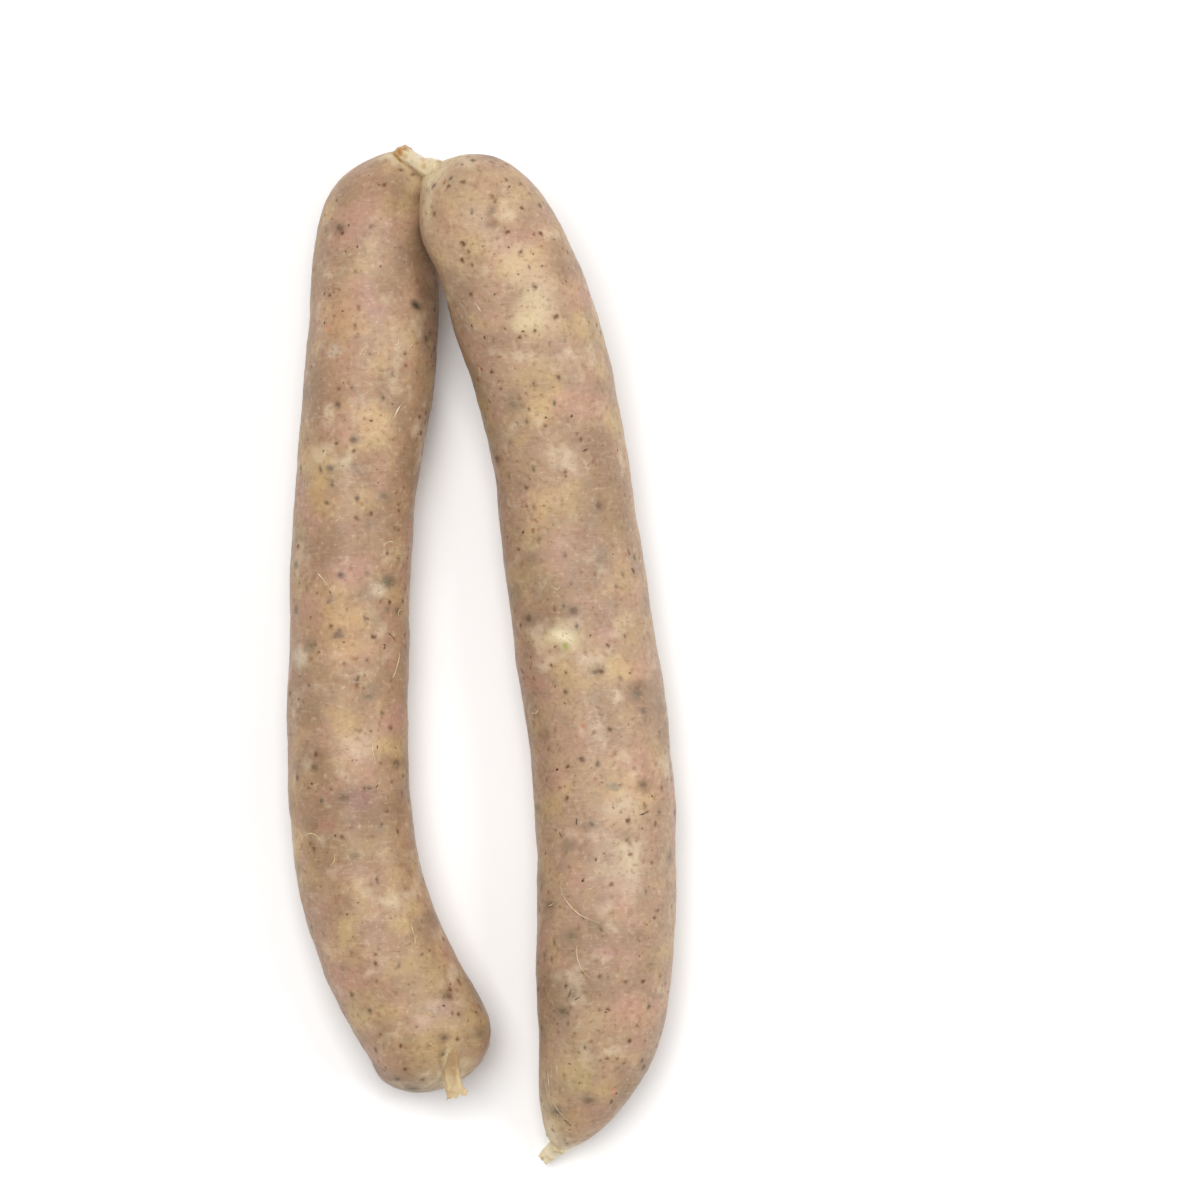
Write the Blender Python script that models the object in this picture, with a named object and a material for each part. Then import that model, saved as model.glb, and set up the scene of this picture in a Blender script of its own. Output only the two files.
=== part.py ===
"""A string of two sausage links, lying on a table.

One natural casing is filled twice, twisted between the two links and cut off at its outer ends.
The left link lies flat. The right link lies flat too, but its upper end leans on the left link's
shoulder, where both are pressed flat. Lengths are in millimetres until build() turns them to metres.
+Y runs along the links towards the twist, +Z is up, and Z = 0 is the table.
"""

import math

import bmesh
import bpy
import numpy as np
from mathutils import Vector, noise

MM = 0.001
COLLECTION = "sausage_string"

# How finely the solids are cut.
LINK_SIDES = 32
BARE_SIDES = 16
BODY_STEP = 6.0  # from one section of a link to the next along its full thickness
BARE_STEP = 0.6  # from one section of bare casing to the next
END_SECTIONS = 10  # over each tapering end
LINE_SAMPLES = 400  # points at which a middle line's length is measured
SMOOTH_ANGLE = math.radians(50)

# The casing.
NECK_RADIUS = 1.7  # where a filled link ends and the bare casing starts
NECK_LENGTH = 0.8  # of the gathered casing just inside that point
NECK_BLEND = 3.0  # higher turns a link's end into the neck more sharply
GAP = 0.3  # between neighbouring solids

# The filling pushes the casing out unevenly, and the casing gathers in pleats at its necks.
LUMP_SIZE = 15.0
LUMP_HEIGHT = 0.35
PLEATS = 6
PLEAT_HEIGHT = 0.3
PLEAT_REACH = 4.5

# How the links lie.
SINK = 0.45  # how far a link's weight presses its underside flat
LEAN_POINT = np.array((-10.2, 87.1, 18.2))  # middle of the flat where the right link leans on the left one
LEAN_NORMAL = np.array((0.854, 0.0, 0.521))  # from the left link towards the right one
LEAN_REACH = 40.0  # from that point to where the links are well apart
TABLE = np.zeros(3)
DOWN = np.array((0.0, 0.0, -1.0))
UP = -DOWN

# Each link's middle line from its twisted end to its cut end: x, y, the full thickness there, and how
# far the line is lifted above where a link of that thickness would rest.
LEFT_LINE = (
    (-16.3, 98.8, 24.4, 2.6),
    (-20.1, 87.1, 24.5, 0.0),
    (-21.7, 66.4, 26.0, 0.0),
    (-24.9, 36.4, 24.6, 0.0),
    (-26.6, 4.4, 24.0, 0.0),
    (-26.3, -28.6, 24.4, 0.0),
    (-23.5, -47.6, 25.2, 0.0),
    (-17.9, -62.6, 25.8, 0.0),
    (-11.2, -74.5, 25.6, 0.6),
    (-5.9, -84.2, 25.4, 5.4),
)
RIGHT_LINE = (
    (-9.3, 97.6, 24.4, 12.2),
    (0.0, 87.1, 25.2, 12.2),
    (7.5, 70.9, 27.6, 9.4),
    (13.3, 51.4, 27.6, 4.8),
    (17.0, 29.4, 27.1, 1.2),
    (20.5, 4.4, 28.2, 0.0),
    (23.5, -15.6, 28.2, 0.0),
    (24.9, -41.6, 28.0, 0.0),
    (24.6, -61.6, 27.4, 0.0),
    (22.7, -77.6, 27.2, -1.7),
    (18.9, -89.4, 27.0, -4.2),
    (15.5, -98.3, 27.0, -7.4),
)

# Length of each tapering end, and how full its shoulder is (2 is an ellipse, less is more pointed).
LEFT_ENDS = ((15.0, 2.1), (12.4, 2.7))
RIGHT_ENDS = ((15.0, 2.1), (38.0, 1.5))

# The bare casing runs on from the necks: x, y, z and width.
TWIST_MIDDLE = (
    (-15.1, 100.2, 17.4, 4.0),
    (-13.6, 99.6, 19.8, 3.6),
    (-11.8, 99.0, 22.2, 3.2),
)
TWIST_STRANDS = 3
TWIST_TURNS = 1.1
TWIST_GROOVE = 0.14  # depth of the grooves between strands, as a share of the radius
LEFT_CUT = (-4.6, -87.8, 18.2, 4.3)
RIGHT_CUT = (12.3, -100.6, 4.3, 4.2)
CUT_FLATNESS = 0.55  # thickness of the cut end over its width

# Colour and roughness of each piece.
FINISHES = {
    "link_left": ("b39377", 0.42),
    "link_right": ("bb9f85", 0.42),
    "casing_twist": ("cdb48e", 0.35),
    "casing_end_left": ("c6ad81", 0.35),
    "casing_end_right": ("ddcfb2", 0.35),
}


def spline(knots, values, places):
    """Natural cubic spline through one row of values for each knot, read at the given places."""
    last = len(knots) - 1
    spans = np.diff(knots)
    slopes = np.diff(values, axis=0) / spans[:, None]
    system = np.eye(last + 1)
    bends = np.zeros_like(values)
    for i in range(1, last):
        system[i, i - 1 : i + 2] = spans[i - 1], 2 * (spans[i - 1] + spans[i]), spans[i]
        bends[i] = 6 * (slopes[i] - slopes[i - 1])
    bends = np.linalg.solve(system, bends)
    i = np.clip(np.searchsorted(knots, places) - 1, 0, last - 1)
    span = spans[i][:, None]
    b = (places[:, None] - knots[i][:, None]) / span
    a = 1 - b
    curve = ((a**3 - a) * bends[i] + (b**3 - b) * bends[i + 1]) * span**2 / 6
    return a * values[i] + b * values[i + 1] + curve


def along(points):
    """Distance of each point from the first, measured along the line through them."""
    return np.concatenate([[0.0], np.cumsum(np.linalg.norm(np.diff(points, axis=0), axis=1))])


class Line:
    """A smooth line through stations (x, y, z, thickness), read by its distance from the first one."""

    def __init__(self, stations):
        values = np.array(stations, float)
        knots = along(values[:, :3])
        self.rows = spline(knots, values, np.linspace(0, knots[-1], LINE_SAMPLES))
        self.distances = along(self.rows[:, :3])
        self.length = self.distances[-1]

    def at(self, distances):
        """Points and thicknesses at these distances."""
        columns = [np.interp(distances, self.distances, column) for column in self.rows.T]
        return np.stack(columns[:3], axis=1), columns[3]

    def beyond_end(self, end, distance):
        """Point at a distance straight beyond the line's first (0) or last (-1) end."""
        inner = self.rows[1 if end == 0 else -2, :3]
        outward = self.rows[end, :3] - inner
        return self.rows[end, :3] + outward / np.linalg.norm(outward) * distance


def cross_directions(points):
    """Sideways and upward unit vectors at each point of a line, turning as little as they can."""
    headings = np.gradient(points, axis=0)
    headings /= np.linalg.norm(headings, axis=1)[:, None]
    up = UP
    found = []
    for heading in headings:
        up = up - heading * (up @ heading)
        up /= np.linalg.norm(up)
        found.append((np.cross(heading, up), up))
    return found


def angles(count):
    return np.arange(count) * 2 * math.pi / count


def loop(centre, side, up, radii, flatness=1.0):
    """A loop of points round a centre, one for each radius, squashed to the flatness."""
    turn = angles(len(radii))
    across, above = radii * np.cos(turn), radii * np.sin(turn) * flatness
    return centre + np.outer(across, side) + np.outer(above, up)


def end_profile(inside, length, fullness):
    """Share of the full thickness at a distance inside a link's end."""
    left = np.clip((length - inside) / (length - NECK_LENGTH), 0, 1)
    return np.sqrt(1 - left**fullness)


def section_places(line, ends):
    """Distances of a link's sections: close together over its ends, evenly spaced between them."""
    (first, _), (last, _) = ends
    quarter = np.sin(np.linspace(0, math.pi / 2, END_SECTIONS))
    top = first * (1 - quarter[::-1])
    bottom = line.length - last * (1 - quarter)
    middle = np.arange(first, line.length - last, BODY_STEP)[1:]
    return np.concatenate([top, middle, bottom])


def held_back(points, plane_point, plane_normal):
    """The points, those beyond the plane moved back onto it."""
    beyond = np.clip((points - plane_point) @ plane_normal, 0, None)
    return points - np.outer(beyond, plane_normal)


def pressed(points, lean_side):
    """The points, held back by the table and by the flat where the two links meet."""
    points = held_back(points, TABLE, DOWN)
    normal = LEAN_NORMAL / np.linalg.norm(LEAN_NORMAL) * -lean_side
    leaning = held_back(points, LEAN_POINT - normal * (GAP / 2), normal)
    near = np.linalg.norm(points - LEAN_POINT, axis=1) < LEAN_REACH
    return np.where(near[:, None], leaning, points)


def lumpy(points, centre, share):
    """The points, each moved out from the centre or in towards it as the filling lies."""
    outward = (points - centre) / np.linalg.norm(points - centre, axis=1)[:, None]
    lumps = [noise.noise(Vector(point) / LUMP_SIZE) for point in points]
    return points + outward * (LUMP_HEIGHT * share * np.array(lumps)[:, None])


def link_line(stations):
    """A link's middle line, at the height where the link rests."""
    return Line([(x, y, thickness / 2 - SINK + lift, thickness) for x, y, thickness, lift in stations])


def link_sections(line, ends, lean_side):
    """A filled link as loops of points. lean_side is 1 for the link that leans, -1 for the one below it."""
    places = section_places(line, ends)
    centres, thicknesses = line.at(places)
    from_last = line.length - places
    shares = end_profile(places, *ends[0]) * end_profile(from_last, *ends[1])
    radii = ((thicknesses / 2 * shares) ** NECK_BLEND + NECK_RADIUS**NECK_BLEND) ** (1 / NECK_BLEND)
    pleats = PLEAT_HEIGHT * shares * np.exp(-np.minimum(places, from_last) / PLEAT_REACH)
    sections = []
    for i, (side, up) in enumerate(cross_directions(centres)):
        pleated = radii[i] + pleats[i] * np.cos(PLEATS * angles(LINK_SIDES))
        section = lumpy(loop(centres[i], side, up, pleated), centres[i], shares[i])
        sections.append(pressed(section, lean_side))
    return sections


def casing_start(line, end):
    """Two stations of bare casing that leave a neck in the neck's own direction."""
    return [(*line.beyond_end(end, distance), 2 * NECK_RADIUS) for distance in (GAP, GAP + NECK_RADIUS)]


def bare_places(line):
    """Centres and widths along a stretch of bare casing, and how far along it each lies, from 0 to 1."""
    shares = np.linspace(0, 1, round(line.length / BARE_STEP) + 1)
    return *line.at(line.length * shares), shares


def twist_sections(left, right):
    """The bare casing from one link's neck to the other's: strands wound round each other."""
    line = Line([*casing_start(left, 0), *TWIST_MIDDLE, *reversed(casing_start(right, 0))])
    centres, widths, shares = bare_places(line)
    grooves = TWIST_GROOVE * np.sin(math.pi * shares)
    sections = []
    for i, (side, up) in enumerate(cross_directions(centres)):
        strands = np.cos(TWIST_STRANDS * (angles(BARE_SIDES) - 2 * math.pi * TWIST_TURNS * shares[i]))
        sections.append(loop(centres[i], side, up, widths[i] / 2 * (1 + grooves[i] * strands)))
    return sections


def cut_end_sections(link, cut):
    """The bare casing beyond a link's outer neck, flattening and widening to where it was cut."""
    centres, widths, shares = bare_places(Line([*casing_start(link, -1), cut]))
    flatness = 1 + (CUT_FLATNESS - 1) * shares
    sections = []
    for i, (side, up) in enumerate(cross_directions(centres)):
        sections.append(loop(centres[i], side, up, np.full(BARE_SIDES, widths[i] / 2), flatness[i]))
    return sections


def linear(channel):
    """A colour channel from 0 to 1 as a screen shows it, as the amount of light."""
    return channel / 12.92 if channel <= 0.04045 else ((channel + 0.055) / 1.055) ** 2.4


def make_material(name):
    colour, roughness = FINISHES[name]
    material = bpy.data.materials.new(name)
    material.use_nodes = True
    shader = material.node_tree.nodes["Principled BSDF"]
    channels = [linear(value / 255) for value in bytes.fromhex(colour)]
    shader.inputs["Base Color"].default_value = (*channels, 1)
    shader.inputs["Roughness"].default_value = roughness
    return material


def build(name, sections, collection):
    """Skins unlike sections into one closed solid, in metres, with its own material."""
    mesh = bmesh.new()
    rings = [[mesh.verts.new(point * MM) for point in section] for section in sections]
    for lower, upper in zip(rings, rings[1:]):
        for i in range(len(lower)):
            j = (i + 1) % len(lower)
            mesh.faces.new((lower[i], lower[j], upper[j], upper[i]))
    mesh.faces.new(rings[0])
    mesh.faces.new(rings[-1])
    bmesh.ops.recalc_face_normals(mesh, faces=mesh.faces)
    data = bpy.data.meshes.new(name)
    mesh.to_mesh(data)
    mesh.free()
    data.shade_smooth()
    data.set_sharp_from_angle(angle=SMOOTH_ANGLE)
    data.materials.append(make_material(name))
    collection.objects.link(bpy.data.objects.new(name, data))


def main():
    for old in list(bpy.data.objects):
        bpy.data.objects.remove(old)
    collection = bpy.data.collections.new(COLLECTION)
    bpy.context.scene.collection.children.link(collection)
    left, right = link_line(LEFT_LINE), link_line(RIGHT_LINE)
    build("link_left", link_sections(left, LEFT_ENDS, lean_side=-1), collection)
    build("link_right", link_sections(right, RIGHT_ENDS, lean_side=1), collection)
    build("casing_twist", twist_sections(left, right), collection)
    build("casing_end_left", cut_end_sections(left, LEFT_CUT), collection)
    build("casing_end_right", cut_end_sections(right, RIGHT_CUT), collection)


main()
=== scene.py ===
"""How a string of two raw herb sausages looks: natural casing, the filling seen through it, and light."""

import math
import random

import bpy
import numpy as np
from mathutils import Matrix, Vector, noise
from mathutils.bvhtree import BVHTree


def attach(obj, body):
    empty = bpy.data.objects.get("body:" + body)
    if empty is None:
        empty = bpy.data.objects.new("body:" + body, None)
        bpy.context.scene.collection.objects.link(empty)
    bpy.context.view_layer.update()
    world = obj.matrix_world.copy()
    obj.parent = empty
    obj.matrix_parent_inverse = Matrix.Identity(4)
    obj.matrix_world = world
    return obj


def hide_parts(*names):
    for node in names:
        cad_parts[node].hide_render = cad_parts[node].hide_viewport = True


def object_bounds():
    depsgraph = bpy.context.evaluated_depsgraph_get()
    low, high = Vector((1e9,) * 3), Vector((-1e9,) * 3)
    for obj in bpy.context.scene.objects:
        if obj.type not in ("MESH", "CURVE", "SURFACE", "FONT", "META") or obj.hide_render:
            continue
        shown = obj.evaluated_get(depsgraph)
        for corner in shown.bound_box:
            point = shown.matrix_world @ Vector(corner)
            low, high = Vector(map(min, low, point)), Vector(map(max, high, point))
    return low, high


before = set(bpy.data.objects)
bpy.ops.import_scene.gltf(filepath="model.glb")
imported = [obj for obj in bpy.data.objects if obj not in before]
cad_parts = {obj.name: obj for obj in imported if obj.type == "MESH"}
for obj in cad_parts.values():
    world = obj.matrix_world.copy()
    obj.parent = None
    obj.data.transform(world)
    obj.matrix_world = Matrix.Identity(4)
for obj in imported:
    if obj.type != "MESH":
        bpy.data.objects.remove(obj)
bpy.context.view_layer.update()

MM = 0.001

# How finely the pieces are made.
LINK_SIDES = 168
LINK_STEP = 0.5  # mm between sections of a link
END_STEPS = 44  # sections over each tapering end
BARE_SIDES = 72
BARE_STEP = 0.12
LINE_SAMPLES = 1600

# The casing's neck, where a filled link ends and bare casing starts, in mm.
NECK_RADIUS = 1.7
NECK_LENGTH = 0.8
NECK_BLEND = 3.0
NECK_OVERLAP = 0.9  # how far bare casing reaches into the neck, so that it shows no gap

# The skin's shape: lumps as height and width, and the gathers around a neck, all in mm.
LUMPS = ((0.6, 16.0), (0.22, 6.0), (0.1, 2.2))
GATHER_DEPTH = 0.42
GATHERS_TOP = 3.6
GATHERS_BOTTOM = 4.6
BARE_TOP = 1.6  # mm of a link's top over which the filling fades out
BARE_BOTTOM = 0.1  # the same at its bottom, as a share of the tapering end

# Threads and stalks: widths and thickness in mm.
THREAD_WIDTHS = (0.2, 0.32)
THREAD_THICKNESS = 0.13
STREAK_WIDTH = 0.13
STREAK_THICKNESS = 0.08
STALK_WIDTH = 0.28
STALK_THICKNESS = 0.14

# How the links lie: the same as in the solids.
SINK = 0.45
LEAN_POINT = np.array((-10.2, 87.1, 18.2))
LEAN_NORMAL = np.array((0.854, 0.0, 0.521))
LEAN_REACH = 40.0
LEAN_GAP = 0.16
PRESS_SOFTNESS = 0.3  # mm over which a pressed flat rounds off
UP = np.array((0.0, 0.0, 1.0))

# Each link's middle line, as in the solids: x, y, full thickness, lift; all in mm.
LEFT_LINE = (
    (-16.3, 98.8, 24.4, 2.6),
    (-20.1, 87.1, 24.5, 0.0),
    (-21.7, 66.4, 26.0, 0.0),
    (-24.9, 36.4, 24.6, 0.0),
    (-26.6, 4.4, 24.0, 0.0),
    (-26.3, -28.6, 24.4, 0.0),
    (-23.5, -47.6, 25.2, 0.0),
    (-17.9, -62.6, 25.8, 0.0),
    (-11.2, -74.5, 25.6, 0.6),
    (-5.9, -84.2, 25.4, 5.4),
)
RIGHT_LINE = (
    (-9.3, 97.6, 24.4, 12.2),
    (0.0, 87.1, 25.2, 12.2),
    (7.5, 70.9, 27.6, 9.4),
    (13.3, 51.4, 27.6, 4.8),
    (17.0, 29.4, 27.1, 1.2),
    (20.5, 4.4, 28.2, 0.0),
    (23.5, -15.6, 28.2, 0.0),
    (24.9, -41.6, 28.0, 0.0),
    (24.6, -61.6, 27.4, 0.0),
    (22.7, -77.6, 27.2, -1.7),
    (18.9, -89.4, 27.0, -4.2),
    (15.5, -98.3, 27.0, -7.4),
)
LEFT_ENDS = ((15.0, 2.1), (12.4, 2.7))
RIGHT_ENDS = ((15.0, 2.1), (38.0, 1.5))

# Where the twist and the cut end draw the casing out of its round shape: x, y, z, reach, and the pull.
LEFT_PULLS = (
    (-12.4, 95.2, 14.0, 5.5, (1.6, 2.4, 3.0)),
    (-17.2, 98.6, 13.0, 5.5, (0.6, 1.9, 1.6)),
)
RIGHT_PULLS = (
    (-9.6, 96.0, 19.0, 5.0, (-2.4, 1.4, 0.4)),
    (14.6, -96.5, 6.0, 3.6, (-0.1, -0.8, 0.0)),
)

# Where a dark fleck lies in the twist's knot, as shares of the twist's length.
KNOT_FLECK = (0.2, 0.23, 0.26, 0.29, 0.32)
# The hollow face of a cut end: how far in from its edge, as a share, and how deep in mm.
CUT_FACE = ((0.18, 0.05), (0.35, 0.4), (0.6, 0.8))

# Bare casing: x, y, z and width in mm.
TWIST_MIDDLE = (
    (-15.5, 100.3, 17.0, 3.5),
    (-13.5, 99.2, 19.2, 4.2),
    (-11.4, 97.9, 21.7, 5.0),
)
LEFT_CUT = (
    (-6.9, -75.8, 23.1, 2.0),
    (-6.5, -78.6, 22.2, 3.0),
    (-6.1, -81.4, 20.4, 3.4),
    (-5.8, -84.0, 19.3, 3.6),
    (-5.3, -86.2, 18.6, 4.0),
    (-5.0, -87.5, 17.9, 4.6),
)
# The right one flares inside the link's tapered tip, so that the two run into each other: depth, then width.
RIGHT_FLARE = ((2.0, 5.9), (1.5, 5.2), (1.0, 4.6), (0.4, 4.1))
RIGHT_CUT_END = ((14.2, -99.1, 4.9, 3.3), (13.0, -100.2, 4.5, 3.0), (12.1, -101.1, 4.1, 2.5))


def spline(knots, values, places):
    """Natural cubic spline through one row of values for each knot, read at the given places."""
    last = len(knots) - 1
    spans = np.diff(knots)
    slopes = np.diff(values, axis=0) / spans[:, None]
    system = np.eye(last + 1)
    bends = np.zeros_like(values)
    for i in range(1, last):
        system[i, i - 1 : i + 2] = spans[i - 1], 2 * (spans[i - 1] + spans[i]), spans[i]
        bends[i] = 6 * (slopes[i] - slopes[i - 1])
    bends = np.linalg.solve(system, bends)
    i = np.clip(np.searchsorted(knots, places) - 1, 0, last - 1)
    span = spans[i][:, None]
    b = (places[:, None] - knots[i][:, None]) / span
    a = 1 - b
    curve = ((a**3 - a) * bends[i] + (b**3 - b) * bends[i + 1]) * span**2 / 6
    return a * values[i] + b * values[i + 1] + curve


def along(points):
    """Distance of each point from the first, measured along the line through them."""
    return np.concatenate([[0.0], np.cumsum(np.linalg.norm(np.diff(points, axis=0), axis=1))])


class Line:
    """A smooth line through stations (x, y, z, thickness), read by its distance from the first one."""

    def __init__(self, stations):
        values = np.array(stations, float)
        knots = along(values[:, :3])
        self.rows = spline(knots, values, np.linspace(0, knots[-1], LINE_SAMPLES))
        self.distances = along(self.rows[:, :3])
        self.length = self.distances[-1]

    def at(self, distances):
        columns = [np.interp(distances, self.distances, column) for column in self.rows.T]
        return np.stack(columns[:3], axis=1), columns[3]

    def beyond_end(self, end, distance):
        """Point at a distance straight beyond the line's first (0) or last (-1) end."""
        inner = self.rows[1 if end == 0 else -2, :3]
        outward = self.rows[end, :3] - inner
        return self.rows[end, :3] + outward / np.linalg.norm(outward) * distance


def cross_directions(points):
    """Sideways and upward unit vectors at each point of a line, turning as little as they can."""
    headings = np.gradient(points, axis=0)
    headings /= np.linalg.norm(headings, axis=1)[:, None]
    up = UP
    sides, ups = [], []
    for heading in headings:
        up = up - heading * (up @ heading)
        up /= np.linalg.norm(up)
        sides.append(np.cross(heading, up))
        ups.append(up)
    return np.array(sides), np.array(ups)


def outward_directions(points, sides):
    """Unit vectors around each point of a line: an array of sections by sides by 3."""
    side, up = cross_directions(points)
    turn = np.arange(sides) * 2 * math.pi / sides
    return side[:, None] * np.cos(turn)[None, :, None] + up[:, None] * np.sin(turn)[None, :, None]


def bumps(points, size, seed):
    """Smooth noise from about -0.5 to 0.5 at each point, with bumps about as wide as size."""
    flat = (points.reshape(-1, 3) + seed * 37.0) / size
    values = [noise.noise(Vector(row)) for row in flat.tolist()]
    return np.array(values).reshape(points.shape[:-1])


def softly_above(height, softness):
    """Height, rounded off so that it never falls below zero."""
    return (height + np.sqrt(height**2 + softness**2)) / 2


def end_profile(inside, length, fullness):
    left = np.clip((length - inside) / (length - NECK_LENGTH), 0, 1)
    return np.sqrt(1 - left**fullness)


def section_places(line, ends):
    """Distances of a link's sections: close together over its ends, evenly spaced between them."""
    (first, _), (last, _) = ends
    quarter = np.sin(np.linspace(0, math.pi / 2, END_STEPS))
    top = first * (1 - quarter[::-1])
    bottom = line.length - last * (1 - quarter)
    middle = np.arange(first, line.length - last, LINK_STEP)[1:]
    return np.concatenate([top, middle, bottom])


def pleats(turn, distance, seed):
    """Gathers around a neck, from -1 to 1: narrow valleys between round folds, wound by the twist."""
    rng = random.Random(seed)
    spiral = turn + 0.5 * np.exp(-distance / 2.5)
    total = 0.0
    for count in (7, 11, 17):
        total = total + 1 - 2 * np.abs(np.sin(count / 2 * spiral + rng.uniform(0, 2 * math.pi))) ** 0.7
    return -total / 3


def pressed(points, lean_side):
    """The points, held back by the table and by the flat where the two links meet."""
    points = points.copy()
    points[..., 2] = softly_above(points[..., 2], PRESS_SOFTNESS)
    normal = LEAN_NORMAL / np.linalg.norm(LEAN_NORMAL) * -lean_side
    inside = (LEAN_POINT - normal * LEAN_GAP - points) @ normal
    moved = inside - softly_above(inside, PRESS_SOFTNESS)
    near = np.linalg.norm(points - LEAN_POINT, axis=-1) < LEAN_REACH
    return points + np.where(near, moved, 0)[..., None] * normal


class Skin:
    """A link's skin: points by section and side in mm, and how bare the casing is at each point."""

    def __init__(self, stations, ends, lean_side, seed, pulls):
        self.line = Line([(x, y, thick / 2 - SINK + lift, thick) for x, y, thick, lift in stations])
        places = section_places(self.line, ends)
        centres, thicknesses = self.line.at(places)
        from_last = self.line.length - places
        shares = end_profile(places, *ends[0]) * end_profile(from_last, *ends[1])
        radii = ((thicknesses / 2 * shares) ** NECK_BLEND + NECK_RADIUS**NECK_BLEND) ** (1 / NECK_BLEND)
        outward = outward_directions(centres, LINK_SIDES)
        turn = (np.arange(LINK_SIDES) * 2 * math.pi / LINK_SIDES)[None, :]
        smooth = centres[:, None] + outward * radii[:, None, None]
        lumps = sum(height * bumps(smooth, size, seed + i) for i, (height, size) in enumerate(LUMPS))
        gathers = np.zeros_like(lumps)
        for distance, reach, number in ((places, GATHERS_TOP, 3), (from_last, GATHERS_BOTTOM, 4)):
            fade = (np.exp(-distance / reach) * np.sqrt(shares))[:, None]
            gathers += GATHER_DEPTH * fade * pleats(turn, distance[:, None], seed + number)
        radius = radii[:, None] + shares[:, None] * lumps + gathers
        loose = centres[:, None] + outward * radius[..., None]
        for x, y, z, reach, pull in pulls:
            near = np.exp(-((np.linalg.norm(loose - np.array((x, y, z)), axis=-1) / reach) ** 2))
            loose = loose + near[..., None] * np.array(pull)
        self.points = pressed(loose, lean_side)
        neck = np.minimum(places / BARE_TOP, from_last / (BARE_BOTTOM * ends[1][0]))[:, None]
        uneven = 0.5 * bumps(smooth, 2.0, seed + 5) * np.exp(-neck / 2)
        self.bare = np.clip(1.3 * np.exp(-neck) + uneven, 0, 1)


def faces_between(count, sides):
    """Four-sided faces that join each ring of points to the next."""
    i = np.arange(count - 1)[:, None] * sides
    j = np.arange(sides)[None, :]
    k = (j + 1) % sides
    return np.stack([i + j, i + sides + j, i + sides + k, i + k], axis=-1).reshape(-1, 4).tolist()


def piece(name, rings, bare, material, patch=None):
    """A closed mesh through rings of points in mm; bare and the patches of colour are for the material."""
    count, sides = rings.shape[:2]
    caps = np.stack([rings[0].mean(axis=0), rings[-1].mean(axis=0)])
    points = np.concatenate([rings.reshape(-1, 3), caps]) * MM
    first, last = count * sides, count * sides + 1
    faces = faces_between(count, sides)
    faces += [(first, a, (a + 1) % sides) for a in range(sides)]
    start = (count - 1) * sides
    faces += [(last, start + (a + 1) % sides, start + a) for a in range(sides)]
    mesh = bpy.data.meshes.new(name)
    mesh.from_pydata(points.tolist(), [], faces)
    values = np.concatenate([bare.reshape(-1), [bare[0].mean(), bare[-1].mean()]])
    mesh.attributes.new("bare", "FLOAT", "POINT").data.foreach_set("value", values.astype(np.float32))
    if patch is not None:
        values = np.concatenate([patch.reshape(-1, 4), np.zeros((2, 4))]).reshape(-1).astype(np.float32)
        mesh.attributes.new("patch", "FLOAT_COLOR", "POINT").data.foreach_set("color", values)
    mesh.shade_smooth()
    mesh.materials.append(material)
    made = bpy.data.objects.new(name, mesh)
    bpy.context.scene.collection.objects.link(made)
    return made


def stands_for(made, node):
    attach(made, "root")
    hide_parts(node)


# ---------------------------------------------------------------- patches and threads

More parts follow.
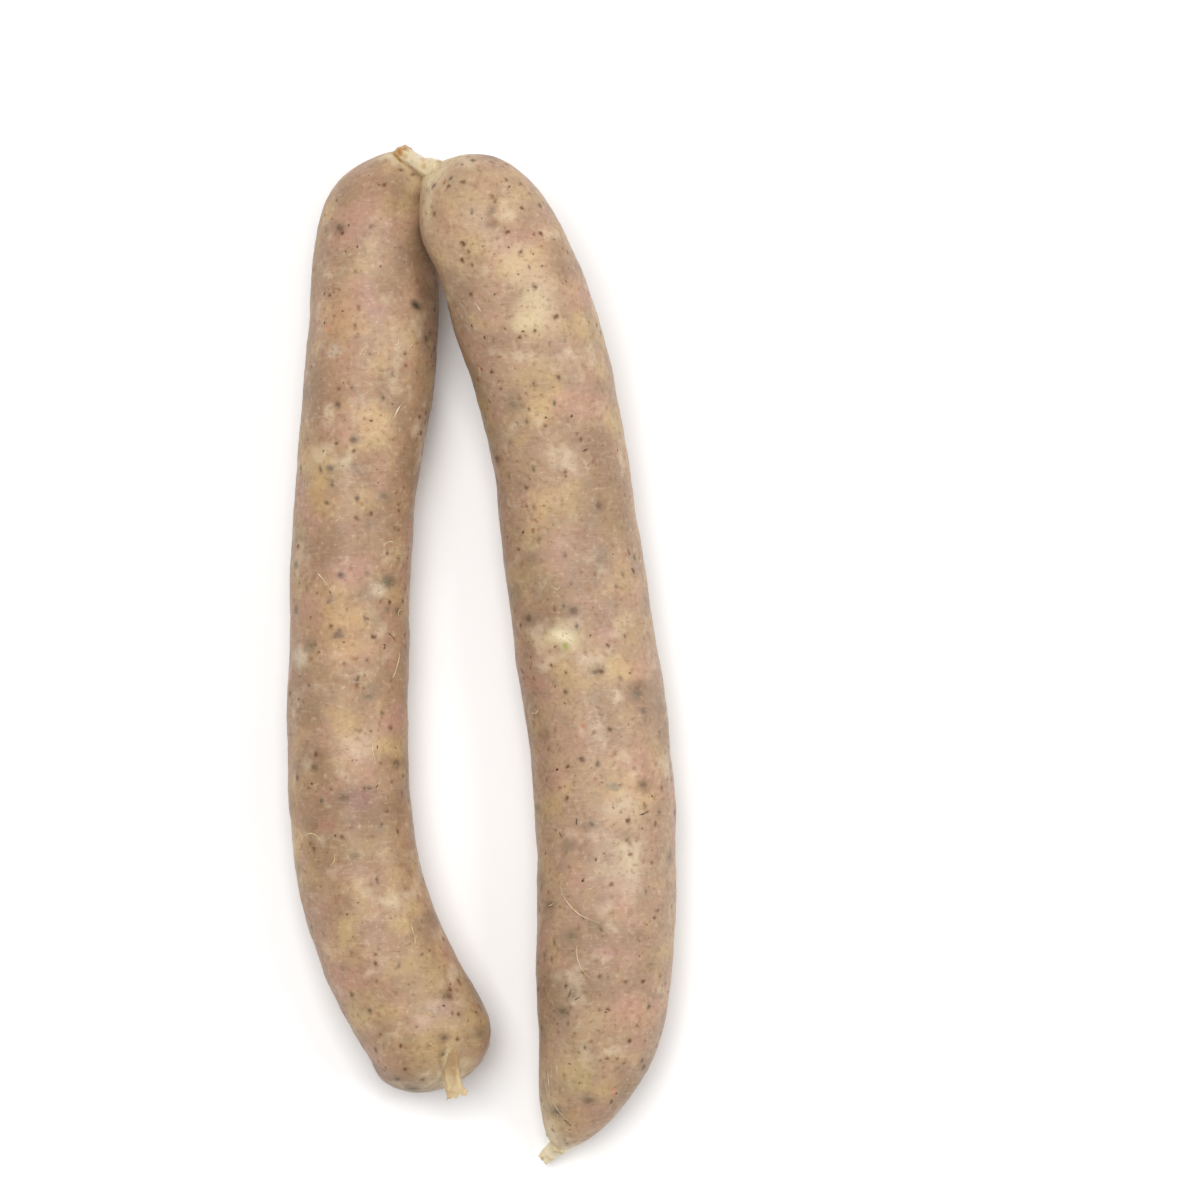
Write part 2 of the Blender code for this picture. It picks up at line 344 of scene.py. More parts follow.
# What stands out through the casing: x and y in mm, radius across and along, colour, strength.
LEFT_PATCHES = (
    (-28.0, 65.0, 5.0, 7.0, "bb946c", 0.5),
    (-29.1, 61.1, 1.8, 1.5, "bfae9c", 0.6),
    (-20.7, 68.3, 3.0, 2.6, "94716a", 0.5),
    (-18.0, 64.0, 4.0, 4.0, "bfa585", 0.5),
    (-21.8, 48.0, 3.6, 3.2, "c6a97c", 0.7),
    (-13.0, 70.1, 1.3, 1.3, "26211a", 0.95),
    (-11.0, 63.6, 0.6, 0.9, "3a2a1c", 0.8),
    (-30.5, 65.5, 0.5, 0.4, "c4742c", 0.8),
    (-28.5, 50.1, 0.7, 0.9, "3c2c1c", 0.85),
    (-25.3, 43.3, 1.2, 1.2, "3a2a1e", 0.85),
    (-29.9, 37.8, 1.2, 0.8, "4c3a40", 0.75),
    (-32.6, 33.0, 2.2, 5.0, "bc9866", 0.6),
    (-30.7, 30.9, 0.6, 0.5, "2a1c12", 0.9),
    (-28.2, 5.0, 4.6, 9.0, "bb9660", 0.6),
    (-27.5, -12.0, 4.0, 6.0, "ba9866", 0.5),
    (-27.8, 16.5, 0.9, 0.9, "33251a", 0.9),
    (-22.7, 16.9, 0.6, 0.5, "5a4630", 0.7),
    (-18.8, 15.2, 1.9, 1.4, "4b4d38", 0.8),
    (-20.4, 13.6, 1.8, 1.6, "c3b59c", 0.7),
    (-29.9, 11.6, 1.0, 1.0, "70605c", 0.6),
    (-18.9, 9.4, 0.8, 0.8, "60503e", 0.7),
    (-16.8, 9.2, 0.8, 0.8, "54442f", 0.75),
    (-37.0, 9.4, 0.5, 1.2, "4c4236", 0.8),
    (-37.2, 18.3, 0.5, 1.2, "4c4236", 0.8),
    (-37.2, 42.2, 0.6, 1.8, "4c4236", 0.7),
    (-36.2, 0.0, 1.8, 3.0, "c8bba4", 0.7),
    (-23.4, -17.5, 3.6, 3.6, "c3a88e", 0.6),
    (-24.8, -28.2, 3.2, 2.2, "8a625a", 0.7),
    (-22.6, -26.0, 0.7, 0.6, "332420", 0.8),
    (-30.6, -33.4, 2.6, 1.6, "a5735f", 0.6),
    (-25.2, -39.4, 1.2, 1.1, "6a5430", 0.8),
    (-33.0, -21.8, 0.8, 0.9, "46341f", 0.8),
    (-17.0, -21.2, 0.8, 0.9, "46341f", 0.8),
    (-12.0, -62.0, 5.6, 6.0, "ae9468", 0.5),
    (-10.0, -78.0, 9.0, 8.0, "b0956a", 0.6),
    (-5.9, -79.6, 2.2, 5.0, "c3ae82", 0.6),
    (-8.2, -80.4, 0.5, 5.0, "8a5f40", 0.6),
    (-8.6, -70.4, 3.0, 3.0, "a58a80", 0.6),
    (-16.8, -84.0, 0.9, 0.6, "473226", 0.85),
    (-14.0, -76.0, 1.8, 1.6, "85754f", 0.5),
    (-12.8, 96.6, 3.0, 3.0, "c0a47e", 0.8),
)
RIGHT_PATCHES = (
    (16.6, 3.4, 4.2, 3.8, "cfbc90", 0.6),
    (16.2, 4.6, 2.2, 2.1, "e6d9b8", 0.75),
    (16.6, 2.2, 0.5, 1.0, "7f8a22", 0.95),
    (25.2, -58.6, 3.4, 1.2, "a97c70", 0.7),
    (20.5, -13.6, 0.8, 0.9, "a5683f", 0.75),
    (31.0, -7.2, 1.2, 1.6, "514f48", 0.75),
    (32.4, -10.4, 0.8, 0.8, "46484a", 0.7),
    (28.6, -41.0, 4.6, 7.0, "c9bba0", 0.5),
    (27.2, -29.6, 3.6, 3.4, "c4b59c", 0.5),
    (26.6, -25.6, 2.2, 0.9, "71706a", 0.6),
    (21.6, -33.4, 2.6, 1.6, "7c6a58", 0.6),
    (11.0, 71.0, 4.4, 7.0, "cdb893", 0.7),
    (8.6, 79.0, 3.4, 3.6, "c7ae8b", 0.6),
    (2.2, 88.4, 1.0, 1.0, "4a3c2c", 0.8),
    (2.8, 86.0, 0.9, 1.0, "8a4f33", 0.85),
    (9.0, 66.2, 2.8, 2.6, "d0bf98", 0.7),
    (24.2, 20.2, 2.4, 3.0, "827c6c", 0.5),
    (19.4, -84.0, 3.2, 4.0, "b49f6f", 0.6),
    (26.4, -86.8, 0.8, 0.65, "dd5e1c", 1.0),
    (18.6, -66.6, 0.9, 1.3, "3c3026", 0.85),
    (22.6, -72.0, 4.0, 3.0, "b39a78", 0.6),
    (-3.0, 88.0, 7.0, 12.0, "b79b74", 0.5),
    (-9.8, 96.0, 2.6, 3.0, "d0be94", 0.8),
    (-10.4, 90.0, 1.1, 6.0, "cbb890", 0.6),
    (-8.0, 88.5, 3.0, 4.0, "9c7458", 0.5),
    (11.6, -91.0, 1.2, 6.0, "c2ac88", 0.5),
    (14.2, -95.4, 1.8, 3.6, "d8c6a6", 0.8),
    (18.0, -93.0, 5.0, 4.0, "b59468", 0.5),
    (21.4, -97.4, 0.6, 0.5, "2b1a1c", 0.9),
    (17.4, -95.8, 1.4, 0.6, "8a6a42", 0.6),
)

# Curled threads of casing: x and y in mm, heading in degrees, length in mm, curl in degrees a mm.
LEFT_THREADS = (
    (-17.4, 62.2, 320, 2.4, 70),
    (-14.6, 61.6, 30, 1.8, 20),
    (-23.6, 59.8, 40, 1.6, 20),
    (-17.6, 47.0, 75, 4.4, -6),
    (-18.6, 46.0, 60, 2.4, 20),
    (-19.4, 22.0, 60, 3.4, -28),
    (-32.8, 16.6, 320, 3.0, 4),
    (-17.8, -4.0, 50, 5.4, 5),
    (-16.6, 8.4, 130, 2.4, -60),
    (-21.0, -20.6, 118, 4.0, -5),
    (-36.0, -37.0, 50, 7.0, -22),
    (-30.2, -41.2, 20, 3.0, 30),
    (-10.8, -70.2, 300, 2.6, 20),
    (-13.2, -57.0, 75, 4.5, 6),
    (-9.6, -77.4, 110, 1.8, 20),
)
RIGHT_THREADS = (
    (-1.0, 70.6, 290, 2.6, 16),
    (-0.4, 56.0, 30, 2.2, 40),
    (11.4, -10.4, 240, 2.6, -30),
    (14.6, 13.4, 10, 1.6, 30),
    (16.0, -45.4, 282, 12.0, 5),
    (14.2, -48.8, 200, 1.8, 0),
    (19.2, -57.4, 262, 8.0, 6),
    (13.0, -82.0, 275, 6.5, -3),
    (21.0, -45.8, 350, 2.0, 30),
)
# Fine pale lines where the casing is drawn together over the tapered end.
RIGHT_STREAKS = (
    (12.6, -84.6, 277, 6.0, 1),
    (14.2, -87.6, 275, 7.5, 1),
    (11.0, -87.4, 287, 6.0, 1),
    (13.4, -90.0, 280, 5.0, 0),
    (15.2, -91.0, 268, 4.5, -2),
    (14.8, -80.4, 279, 3.5, 2),
)
# Threads on each link's lower half, which shows from the other sides only: how many are tried, and how low.
LOOSE_THREADS = 16
LOWEST_THREAD = 3.0
# Slivers of herb stalk and husk under the casing.
LEFT_STALKS = (
    (-18.6, 4.9, 338, 2.8, -6),
    (-21.0, -26.2, 20, 1.3, 60),
    (-20.8, -18.0, 80, 1.0, 0),
    (-29.8, 12.8, 125, 0.9, 0),
)
RIGHT_STALKS = (
    (31.8, -31.4, 8, 2.4, 9),
    (19.0, -33.2, 88, 1.5, 0),
    (15.6, -34.6, 310, 1.6, 6),
    (18.0, -66.0, 250, 2.6, -8),
    (13.0, -96.4, 200, 1.0, 0),
    (19.4, -68.0, 205, 1.6, 5),
    (21.4, 41.4, 190, 1.7, 4),
)


def patches(points, spots, seed):
    """Colour and strength of the patches at each point of a skin: they show on its upper side."""
    colour = np.zeros((*points.shape[:2], 4))
    shift = 0.6 * np.stack([bumps(points, 3.5, seed), bumps(points, 3.5, seed + 1)], axis=-1)
    middle = points.mean(axis=1)[:, None, 2]
    for x, y, across, length, tint, strength in spots:
        push = shift * min(across, length)
        sideways = (points[..., 0] - x + push[..., 0]) / across
        lengthways = (points[..., 1] - y + push[..., 1]) / length
        far = np.hypot(sideways, lengthways)
        mask = (strength * np.exp(-1.6 * far**2.4) * (points[..., 2] > middle))[..., None]
        over = colour[..., 3:] * (1 - mask) + mask
        mixed = colour[..., :3] * colour[..., 3:] * (1 - mask) + np.array(shade(tint)[:3]) * mask
        colour = np.concatenate([mixed / np.maximum(over, 1e-6), over], axis=-1)
    return colour


class Surface:
    """A skin that finds its nearest point and the way out of the link there."""

    def __init__(self, points):
        self.points = points
        self.top = points[..., 2] > points.mean(axis=1)[:, None, 2]
        count, sides = points.shape[:2]
        self.tree = BVHTree.FromPolygons(points.reshape(-1, 3).tolist(), faces_between(count, sides))

    def above(self, x, y):
        """The point of the upper side over a place on the table."""
        far = np.hypot(self.points[..., 0] - x, self.points[..., 1] - y) + np.where(self.top, 0, 1e3)
        return Vector(self.points.reshape(-1, 3)[far.argmin()])

    def nearest(self, place):
        found = self.tree.find_nearest(place)
        return found[0], found[1]

    def path(self, start, heading, length, curl, rng):
        """Points and outward directions of a thread that lies along the skin."""
        step = 0.25
        place, outward = self.nearest(start)
        way = Vector((math.cos(heading), math.sin(heading), 0))
        found = []
        for i in range(max(4, round(length / step))):
            way = (way - outward * way.dot(outward)).normalized()
            found.append((place, outward.copy()))
            turn = math.radians(curl + rng.uniform(-14, 14)) * step
            way = (Matrix.Rotation(turn, 3, outward) @ way).normalized()
            place, outward = self.nearest(place + way * step)
        return found


def ribbon(path, width, thickness, lift, rng):
    """Rings of a thread that lies along a path, thinner at its ends, one of which curls up off the skin."""
    sides = 6
    count = len(path)
    phase = rng.uniform(0, 2 * math.pi)
    rings = []
    for i, (place, outward) in enumerate(path):
        share = i / (count - 1)
        ahead = path[min(i + 1, count - 1)][0] - path[max(i - 1, 0)][0]
        side = ahead.cross(outward).normalized()
        taper = math.sin(math.pi * min(max(share, 0.04), 0.96)) ** 0.4
        size = taper * (0.85 + 0.3 * math.sin(phase + 9 * share))
        rise = thickness * 0.35 + lift * max(0, share - 0.55) ** 2 * 4
        ring = []
        for j in range(sides):
            angle = 2 * math.pi * j / sides
            across = side * (math.cos(angle) * width / 2 * size)
            ring.append(place + across + outward * (rise + math.sin(angle) * thickness / 2 * size))
        rings.append(ring)
    return np.array(rings)


def join(name, parts, material):
    """Many thin closed tubes as one piece."""
    points, faces = [], []
    for rings in parts:
        start = len(points)
        count, sides = rings.shape[:2]
        points += (rings.reshape(-1, 3) * MM).tolist()
        for i in range(count - 1):
            for j in range(sides):
                k = (j + 1) % sides
                a, b = start + i * sides, start + (i + 1) * sides
                faces.append((a + j, a + k, b + k, b + j))
        faces.append([start + j for j in reversed(range(sides))])
        faces.append([start + (count - 1) * sides + j for j in range(sides)])
    mesh = bpy.data.meshes.new(name)
    mesh.from_pydata(points, [], faces)
    mesh.shade_smooth()
    mesh.materials.append(material)
    made = bpy.data.objects.new(name, mesh)
    bpy.context.scene.collection.objects.link(made)
    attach(made, "root")


# ---------------------------------------------------------------- bare casing


def casing_start(line, end):
    """Two stations of bare casing, from inside a neck and straight on out of it."""
    return [(*line.beyond_end(end, distance), 2 * NECK_RADIUS) for distance in (-NECK_OVERLAP, NECK_RADIUS)]


def bare_rings(line, shape, seed, wrinkles=0.16):
    """Rings along bare casing. shape(share, turn) gives its radius in half widths, flatness and fold."""
    count = round(line.length / BARE_STEP) + 1
    centres, widths = line.at(np.linspace(0, line.length, count))
    share = np.linspace(0, 1, count)[:, None]
    turn = (np.arange(BARE_SIDES) * 2 * math.pi / BARE_SIDES)[None, :]
    radius, flatness, fold = shape(share, turn)
    side, up = cross_directions(centres)
    reach = widths[:, None] / 2 * radius
    points = centres[:, None] + side[:, None] * (reach * np.cos(turn))[..., None]
    points = points + up[:, None] * (reach * np.sin(turn) * flatness)[..., None]
    points += (points - centres[:, None]) * (wrinkles * bumps(points, 1.3, seed))[..., None]
    return points, fold


def twisted(share, turn):
    """Wound up into a folded knot by the first link, then spread out as a nearly smooth band."""
    knot = np.exp(-(((share - 0.3) / 0.14) ** 2))
    wound = turn - 2 * math.pi * 0.6 * share
    strands = np.cos(3 * wound)
    fine = np.cos(8 * turn + 5 * share)
    radius = 1 + knot * (0.1 + 0.07 * strands + 0.04 * fine) + 0.02 * fine
    flatness = 1 - 0.4 * np.exp(-(((share - 0.66) / 0.22) ** 2))
    return radius, flatness, 0.95 - 1.2 * knot + 0.12 * fine


def pressed_flat(first, reach, pale):
    """Gathered casing pressed flat, with soft lengthwise folds: how thick and how pale it starts."""

    def shape(share, turn):
        fine = np.cos(5 * turn + 1.5 * share) + 0.5 * np.cos(9 * turn - 2 * share)
        flatness = 0.34 + (first - 0.34) * np.exp(-((share / reach) ** 2))
        return 1 + 0.035 * fine, flatness, np.clip(1.6 * share - 0.3 + pale, 0, 0.8) + 0.15 * fine

    return shape


def ragged(rings, seed):
    """The rings, with the last ones pushed out or in along the casing and sunk to a hollow cut face."""
    heading = rings[-1].mean(axis=0) - rings[-6].mean(axis=0)
    heading /= np.linalg.norm(heading)
    count = 12
    tear = bumps(rings[-1], 0.9, seed)
    for i in range(count):
        rings[-1 - i] += heading * (1.1 * tear * (1 - i / count) ** 1.5)[:, None]
    edge = rings[-1]
    inward = edge.mean(axis=0) - edge
    hollow = [edge + inward * share - heading * depth for share, depth in CUT_FACE]
    return np.concatenate([rings, np.stack(hollow)])


# ---------------------------------------------------------------- materials


def shade(text):
    """A colour as a screen shows it, such as c8b090, as amounts of light."""
    values = [value / 255 for value in bytes.fromhex(text)]
    return [v / 12.92 if v <= 0.04045 else ((v + 0.055) / 1.055) ** 2.4 for v in values] + [1.0]


def add(tree, kind, inputs=None, **settings):
    """Adds a node with its settings. Each input is a value, or another node's output to link."""
    made = tree.nodes.new(kind)
    for name, value in settings.items():
        setattr(made, name, value)
    for socket, value in (inputs or {}).items():
        if isinstance(value, bpy.types.NodeSocket):
            tree.links.new(value, made.inputs[socket])
        else:
            made.inputs[socket].default_value = value
    return made


def new_material(name):
    material = bpy.data.materials.new(name)
    material.use_nodes = True
    material.node_tree.nodes.clear()
    return material, material.node_tree


def millimetres(tree, offset):
    """The piece's own coordinates in mm, moved by an offset so that two pieces don't look alike."""
    place = add(tree, "ShaderNodeTexCoord").outputs["Object"]
    scaled = add(tree, "ShaderNodeVectorMath", {0: place, "Scale": 1 / MM}, operation="SCALE").outputs[0]
    return add(tree, "ShaderNodeVectorMath", {0: scaled, 1: offset}, operation="ADD").outputs[0]


def cloud(tree, place, size, detail=2.0):
    """Soft noise from 0 to 1 with lumps about as wide as size in mm."""
    inputs = {"Vector": place, "Scale": 0.6 / size, "Detail": detail, "Roughness": 0.55}
    return add(tree, "ShaderNodeTexNoise", inputs).outputs["Fac"]


def ramp(tree, value, low, high, start=0.0, end=1.0):
    """Value, eased from start at low to end at high."""
    inputs = {0: value, 1: low, 2: high, 3: start, 4: end}
    return add(tree, "ShaderNodeMapRange", inputs, interpolation_type="SMOOTHSTEP").outputs[0]


def times(tree, first, second):
    return add(tree, "ShaderNodeMath", {0: first, 1: second}, operation="MULTIPLY").outputs[0]


def laid_over(tree, under, over, mask):
    """One colour laid over another where the mask is 1."""
    return add(tree, "ShaderNodeMix", {0: mask, 6: under, 7: over}, data_type="RGBA").outputs[2]


def moved(tree, place, offset):
    return add(tree, "ShaderNodeVectorMath", {0: place, 1: offset}, operation="ADD").outputs[0]


def unevenly(tree, place, size, reach):
    """The place, pushed about by up to reach mm in lumps of the given size, to break up round shapes."""
    inputs = {"Vector": place, "Scale": 0.6 / size, "Detail": 1.0}
    push = add(tree, "ShaderNodeTexNoise", inputs).outputs["Color"]
    push = add(tree, "ShaderNodeVectorMath", {0: push, 1: (0.5, 0.5, 0.5)}, operation="SUBTRACT").outputs[0]
    push = add(tree, "ShaderNodeVectorMath", {0: push, "Scale": 4 * reach}, operation="SCALE").outputs[0]
    return add(tree, "ShaderNodeVectorMath", {0: place, 1: push}, operation="ADD").outputs[0]


def bits(tree, place, spacing, squash=(1.0, 1.0, 1.0), turn=(0.0, 0.0, 0.0)):
    """Scattered bits: distance in mm from the nearest one, and a random number from 0 to 1 for each."""
    turned = add(tree, "ShaderNodeMapping", {"Vector": place, "Rotation": turn, "Scale": squash}).outputs[0]
    cells = add(tree, "ShaderNodeTexVoronoi", {"Vector": turned, "Scale": 1 / spacing})
    number = add(tree, "ShaderNodeSeparateColor", {0: cells.outputs["Color"]}).outputs[0]
    return times(tree, cells.outputs["Distance"], spacing), number


def herb_filling(tree, place, base, shadow, patch):
    """Raw minced pork with fat, lean and herbs, as it shows through natural casing."""
    rough = unevenly(tree, place, 0.9, 0.28)
    # Mince close under the casing, 4 to 7 mm across: some of it creamier, some pinker, some greyer.
    for size, offset, cream, pink, grey in (
        (6.5, (0.0, 0.0, 0.0), 0.75, 0.65, 0.5),
        (3.0, (40.0, 8.0, 15.0), 0.35, 0.3, 0.35),
    ):
        inputs = {"Vector": moved(tree, place, offset), "Scale": 0.6 / size, "Detail": 1.0}
        grain = add(tree, "ShaderNodeTexNoise", inputs).outputs["Color"]
        hue = add(tree, "ShaderNodeSeparateColor", {0: grain})
        base = laid_over(tree, base, shade("c2a676"), ramp(tree, hue.outputs[0], 0.46, 0.74, 0.0, cream))
        base = laid_over(tree, base, shade("b58a78"), ramp(tree, hue.outputs[1], 0.46, 0.74, 0.0, pink))
        base = laid_over(tree, base, shade("8d7863"), ramp(tree, hue.outputs[2], 0.5, 0.76, 0.0, grey))
    # Slow changes along the link, and fat close under the casing.
    colour = laid_over(tree, base, shade(shadow), ramp(tree, cloud(tree, place, 12.0), 0.47, 0.7, 0.0, 0.7))
    fat = cloud(tree, moved(tree, place, (15.0, 91.0, 60.0)), 4.0)
    colour = laid_over(tree, colour, shade("cfbb9f"), ramp(tree, fat, 0.54, 0.82, 0.0, 0.7))
    colour = laid_over(tree, colour, patch.outputs["Color"], patch.outputs["Alpha"])
    # The finest mottling of casing and mince.
    fine = cloud(tree, rough, 0.6, 3.0)
    colour = laid_over(tree, colour, shade("86623f"), ramp(tree, fine, 0.5, 0.75, 0.0, 0.55))
    colour = laid_over(tree, colour, shade("d2bd9c"), ramp(tree, fine, 0.46, 0.25, 0.0, 0.34))
    # Herbs under the casing: a soft grey stain with a darker leaf in it.
    for spacing, squash, turn, stain, leaf, depth in (
        (9.5, (1.0, 1.3, 0.8), (0.2, 0.4, 0.9), 3.2, 1.3, 0.5),
        (5.4, (1.4, 0.9, 1.1), (0.3, 0.2, 0.6), 1.3, 0.7, 0.6),
    ):
        distance, kind = bits(tree, rough, spacing, squash, turn)
        grey = laid_over(tree, shade("7f6d56"), shade("7c6048"), ramp(tree, kind, 0.3, 0.7))
        colour = laid_over(tree, colour, grey, ramp(tree, distance, stain, 0.0, 0.0, 0.75))
        dark = laid_over(tree, shade("43301c"), shade("3e2410"), ramp(tree, kind, 0.35, 0.65))
        colour = laid_over(tree, colour, dark, ramp(tree, distance, leaf, leaf * 0.2, 0.0, depth))
    # Ground pepper from blurred to crisp, then fine grains of paprika, husk and fat: thick here, thin there.
    crowd = ramp(tree, cloud(tree, moved(tree, place, (33.0, 5.0, 80.0)), 8.0, 1.0), 0.36, 0.56, 0.15, 1.0)
    for spacing, size, tint, depth in (
        (3.0, 0.6, "4a331c", 0.75),
        (2.4, 0.3, "1e0c02", 0.95),
        (1.5, 0.2, "6e4a2a", 0.6),
        (8.5, 0.45, "96541f", 0.7),
        (4.0, 0.22, "dcc6a2", 0.4),
    ):
        distance, number = bits(tree, rough, spacing)
        spread = ramp(tree, number, 0.0, 1.0, 0.5 * size, 0.0)
        reach = add(tree, "ShaderNodeMath", {0: distance, 1: spread}, operation="ADD").outputs[0]
        if size > 0.25:
            halo = times(tree, ramp(tree, reach, size * 1.6, size * 0.7, 0.0, 0.5), crowd)
            colour = laid_over(tree, colour, shade("7a4d26"), halo)
        core = times(tree, ramp(tree, reach, size, size * 0.4, 0.0, depth), crowd)
        colour = laid_over(tree, colour, shade(tint), core)
    return colour


def raw_sausage_skin(name, base, shadow, offset):
    """Natural hog casing over raw pork: moist, satin, and a little see-through, so light spreads under it."""
    material, tree = new_material(name)
    place = millimetres(tree, offset)
    bare = add(tree, "ShaderNodeAttribute", attribute_name="bare").outputs["Fac"]
    patch = add(tree, "ShaderNodeAttribute", attribute_name="patch")
    colour = herb_filling(tree, place, shade(base), shadow, patch)
    streaks = add(tree, "ShaderNodeMapping", {"Vector": place, "Scale": (1.0, 0.25, 1.0)}).outputs[0]
    streak = ramp(tree, cloud(tree, streaks, 0.8), 0.4, 0.65)
    casing = laid_over(tree, shade("d4c09c"), shade("c0a57a"), streak)
    colour = laid_over(tree, colour, casing, ramp(tree, bare, 0.15, 0.95))
    # Casing fibres lie across the link; they and the mince under them leave a fine relief.
    fibres = add(tree, "ShaderNodeMapping", {"Vector": place, "Scale": (0.25, 1.6, 0.25)}).outputs[0]
    fibre = cloud(tree, fibres, 0.5)
    colour = laid_over(tree, colour, shade("d8c8b0"), ramp(tree, fibre, 0.54, 0.8, 0.0, 0.16))
    mince = cloud(tree, place, 1.0, 3.0)
    relief = add(tree, "ShaderNodeMath", {0: fibre, 1: mince}, operation="ADD").outputs[0]
    bump = add(tree, "ShaderNodeBump", {"Strength": 0.6, "Distance": 0.09 * MM, "Height": relief})
    inputs = {
        "Base Color": colour,
        "Roughness": ramp(tree, mince, 0.3, 0.7, 0.42, 0.56),
        "Normal": bump.outputs[0],
        "Subsurface Weight": 0.22,
        "Subsurface Radius": (1.0, 0.45, 0.28),
        "Subsurface Scale": 1.8 * MM,
        "Specular IOR Level": 0.34,
        "Coat Weight": 0.06,
        "Coat Roughness": 0.3,
    }
    shader = add(tree, "ShaderNodeBsdfPrincipled", inputs)
    add(tree, "ShaderNodeOutputMaterial", {0: shader.outputs[0]})
    return material


def bare_hog_casing(name, ridge, fold, offset):
    """Gathered natural casing, with nothing in it: cream on its ridges, amber in its folds, low gloss."""
    material, tree = new_material(name)
    place = millimetres(tree, offset)
    height = add(tree, "ShaderNodeAttribute", attribute_name="bare").outputs["Fac"]
    wear = cloud(tree, place, 1.2, 3.0)
    colour = laid_over(tree, shade(fold), shade(ridge), ramp(tree, height, 0.05, 0.75))
    colour = laid_over(tree, colour, shade("a8824e"), ramp(tree, wear, 0.52, 0.7, 0.0, 0.6))
    grain = cloud(tree, place, 0.6, 3.0)
    colour = laid_over(tree, colour, shade("d1c3a7"), ramp(tree, grain, 0.55, 0.75, 0.0, 0.35))
    bump = add(tree, "ShaderNodeBump", {"Strength": 0.6, "Distance": 0.15 * MM, "Height": wear})
    inputs = {
        "Base Color": colour,
        "Roughness": ramp(tree, wear, 0.3, 0.7, 0.3, 0.46),
        "Normal": bump.outputs[0],
        "Subsurface Weight": 0.35,
        "Subsurface Radius": (1.0, 0.6, 0.35),
        "Subsurface Scale": 1.2 * MM,
        "Coat Weight": 0.15,
        "Coat Roughness": 0.25,
    }
    shader = add(tree, "ShaderNodeBsdfPrincipled", inputs)
    add(tree, "ShaderNodeOutputMaterial", {0: shader.outputs[0]})
    return material


def thread_of_casing():
    """A dried thread of casing: pale, nearly white where it stands off the skin."""
    material, tree = new_material("dried_casing_thread")
    tone = cloud(tree, millimetres(tree, (3.0, 7.0, 1.0)), 1.5)
    colour = laid_over(tree, shade("c4a376"), shade("ddc8a6"), ramp(tree, tone, 0.35, 0.6))
    inputs = {"Base Color": colour, "Roughness": 0.4, "Subsurface Weight": 0.3, "Subsurface Scale": 0.6 * MM}
    shader = add(tree, "ShaderNodeBsdfPrincipled", inputs)
    add(tree, "ShaderNodeOutputMaterial", {0: shader.outputs[0]})
    return material


def herb_stalk():
    """Dried herb stalk and husk: dark to rusty brown, matt."""
    material, tree = new_material("dried_herb_stalk")
    tone = cloud(tree, millimetres(tree, (5.0, 2.0, 8.0)), 3.0)
    colour = laid_over(tree, shade("4a3226"), shade("8a5a35"), ramp(tree, tone, 0.45, 0.65))
    shader = add(tree, "ShaderNodeBsdfPrincipled", {"Base Color": colour, "Roughness": 0.6})
    add(tree, "ShaderNodeOutputMaterial", {0: shader.outputs[0]})
    return material


def white_board():
    """A matt white board, with no mark or gloss."""
    material, tree = new_material("matt_white_board")
    tone = ramp(tree, cloud(tree, millimetres(tree, (0.0, 0.0, 0.0)), 90.0), 0.3, 0.7)
    colour = laid_over(tree, shade("f9f9f9"), shade("fbfbfb"), tone)
    shader = add(tree, "ShaderNodeBsdfPrincipled", {"Base Color": colour, "Roughness": 0.9})
    add(tree, "ShaderNodeOutputMaterial", {0: shader.outputs[0]})
    return material


# ---------------------------------------------------------------- the string


def make_links():
    left = Skin(LEFT_LINE, LEFT_ENDS, -1, 3, LEFT_PULLS)
    right = Skin(RIGHT_LINE, RIGHT_ENDS, 1, 21, RIGHT_PULLS)
    left_skin = raw_sausage_skin("raw_sausage_skin_left", "a18064", "866a50", (0.0, 0.0, 0.0))
    right_skin = raw_sausage_skin("raw_sausage_skin_right", "a98b71", "8e735b", (210.0, 0.0, 0.0))
    left_patch = patches(left.points, LEFT_PATCHES, 40)
    right_patch = patches(right.points, RIGHT_PATCHES, 50)
    made = piece("link_left_skin", left.points, left.bare, left_skin, left_patch)
    stands_for(made, "link_left")
    made = piece("link_right_skin", right.points, right.bare, right_skin, right_patch)
    stands_for(made, "link_right")
    return left, right


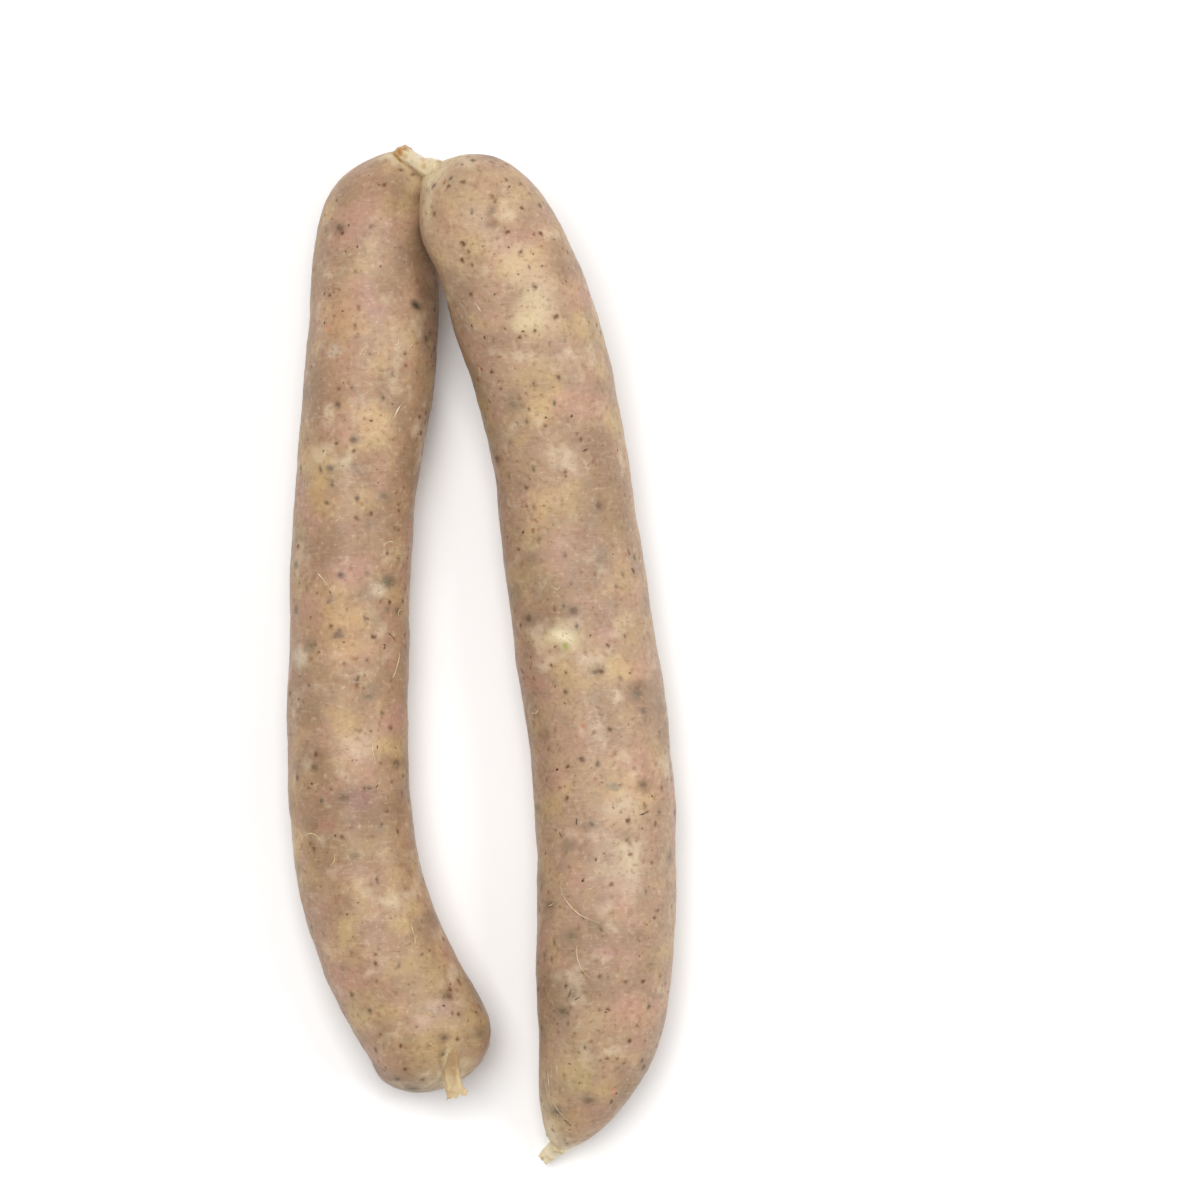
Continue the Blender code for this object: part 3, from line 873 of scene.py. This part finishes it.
def make_threads(left, right, knot):
    rng = random.Random(8)
    threads, stalks = [], [ribbon(knot, 0.7, 0.2, 0.0, rng)]
    for skin, some_threads, some_stalks in (
        (left, LEFT_THREADS, LEFT_STALKS),
        (right, RIGHT_THREADS, RIGHT_STALKS),
    ):
        surface = Surface(skin.points)
        for x, y, heading, length, curl in some_threads:
            path = surface.path(surface.above(x, y), math.radians(heading), length, curl, rng)
            width = rng.uniform(*THREAD_WIDTHS)
            threads.append(ribbon(path, width, THREAD_THICKNESS, rng.uniform(0.1, 0.6), rng))
        for x, y, heading, length, curl in some_stalks:
            path = surface.path(surface.above(x, y), math.radians(heading), length, curl, rng)
            stalks.append(ribbon(path, STALK_WIDTH, STALK_THICKNESS, 0.0, rng))
        if skin is right:
            for x, y, heading, length, curl in RIGHT_STREAKS:
                path = surface.path(surface.above(x, y), math.radians(heading), length, curl, rng)
                threads.append(ribbon(path, STREAK_WIDTH, STREAK_THICKNESS, 0.0, rng))
        rows, columns = np.nonzero(~surface.top)
        for _ in range(LOOSE_THREADS):
            pick = rng.randrange(len(rows))
            start = Vector(skin.points[rows[pick], columns[pick]])
            if start.z < LOWEST_THREAD:
                continue
            heading = rng.uniform(0, 2 * math.pi)
            length = rng.uniform(1.5, 7.0)
            path = surface.path(start, heading, length, rng.uniform(-30, 30), rng)
            width = rng.uniform(*THREAD_WIDTHS)
            threads.append(ribbon(path, width, THREAD_THICKNESS, rng.uniform(0.0, 0.3), rng))
    join("casing_threads", threads, thread_of_casing())
    join("herb_stalks", stalks, herb_stalk())


def make_bare_casing(left, right):
    amber = bare_hog_casing("bare_hog_casing_twist", "d2bf9b", "a87418", (0.0, 0.0, 0.0))
    tan = bare_hog_casing("bare_hog_casing_cut_left", "c8b28a", "a78962", (9.0, 4.0, 0.0))
    cream = bare_hog_casing("bare_hog_casing_cut_right", "d8caa9", "c0a880", (9.0, 4.0, 0.0))
    inside_right = (*right.line.beyond_end(0, -NECK_OVERLAP), 4.4)
    line = Line([*casing_start(left.line, 0), *TWIST_MIDDLE, inside_right])
    rings, fold = bare_rings(line, twisted, 5, 0.09)
    stands_for(piece("casing_twist_folds", rings, fold, amber), "casing_twist")
    knot = [Vector(rings[round(len(rings) * share), BARE_SIDES // 4]) for share in KNOT_FLECK]
    # The left cut end starts as a ridge on the link's rounded end; the right one runs straight on.
    tail = [(*right.line.beyond_end(-1, -depth), width) for depth, width in RIGHT_FLARE] + list(RIGHT_CUT_END)
    for side, stations, shape, material, seed in (
        ("left", LEFT_CUT, pressed_flat(0.14, 0.5, -0.35), tan, 11),
        ("right", tail, pressed_flat(1.0, 0.6, 1.0), cream, 12),
    ):
        rings, fold = bare_rings(Line(stations), shape, seed)
        rings = ragged(rings, seed)
        fold = np.concatenate([fold, np.repeat(fold[-1:], 3, axis=0) * 0.5])
        stands_for(piece(f"casing_cut_{side}", rings, fold, material), f"casing_end_{side}")
    return [(place, Vector((0, 0, 1))) for place in knot]


def make_floor():
    size = 3.0
    mesh = bpy.data.meshes.new("white_board")
    corners = [(-size, -size, 0), (size, -size, 0), (size, size, 0), (-size, size, 0)]
    mesh.from_pydata(corners, [], [(0, 1, 2, 3)])
    mesh.materials.append(white_board())
    floor = bpy.data.objects.new("white_board", mesh)
    bpy.context.scene.collection.objects.link(floor)


def softbox(name, place, size, power):
    """A square studio light that faces the string."""
    light = bpy.data.lights.new(name, "AREA")
    light.size = size
    light.energy = power
    made = bpy.data.objects.new(name, light)
    made.location = place
    made.rotation_euler = (-Vector(place)).to_track_quat("-Z", "Y").to_euler()
    bpy.context.scene.collection.objects.link(made)


def make_studio():
    """Soft light from above, and a camera that looks straight down."""
    low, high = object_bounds()
    scene = bpy.context.scene
    softbox("softbox_above", (-0.16, 0.26, 1.1), 0.7, 10.4)
    softbox("softbox_right", (0.75, 0.0, 0.8), 0.5, 4.2)
    world = bpy.data.worlds.new("studio")
    scene.world = world
    world.use_nodes = True
    world.node_tree.nodes["Background"].inputs["Color"].default_value = shade("ffffff")
    world.node_tree.nodes["Background"].inputs["Strength"].default_value = 0.4
    camera = bpy.data.cameras.new("camera")
    camera.lens = 300
    camera.sensor_width = 36
    camera.clip_end = 20
    view = bpy.data.objects.new("camera", camera)
    width = 0.24
    aim = Vector(((low[0] + high[0]) / 2 + 0.0236, (low[1] + high[1]) / 2 + 0.0115, 0.014))
    view.location = aim + Vector((0, 0, width * camera.lens / camera.sensor_width))
    scene.collection.objects.link(view)
    scene.camera = view
    scene.view_settings.view_transform = "Standard"


make_studio()
make_floor()
left_link, right_link = make_links()
knot = make_bare_casing(left_link, right_link)
make_threads(left_link, right_link, knot)
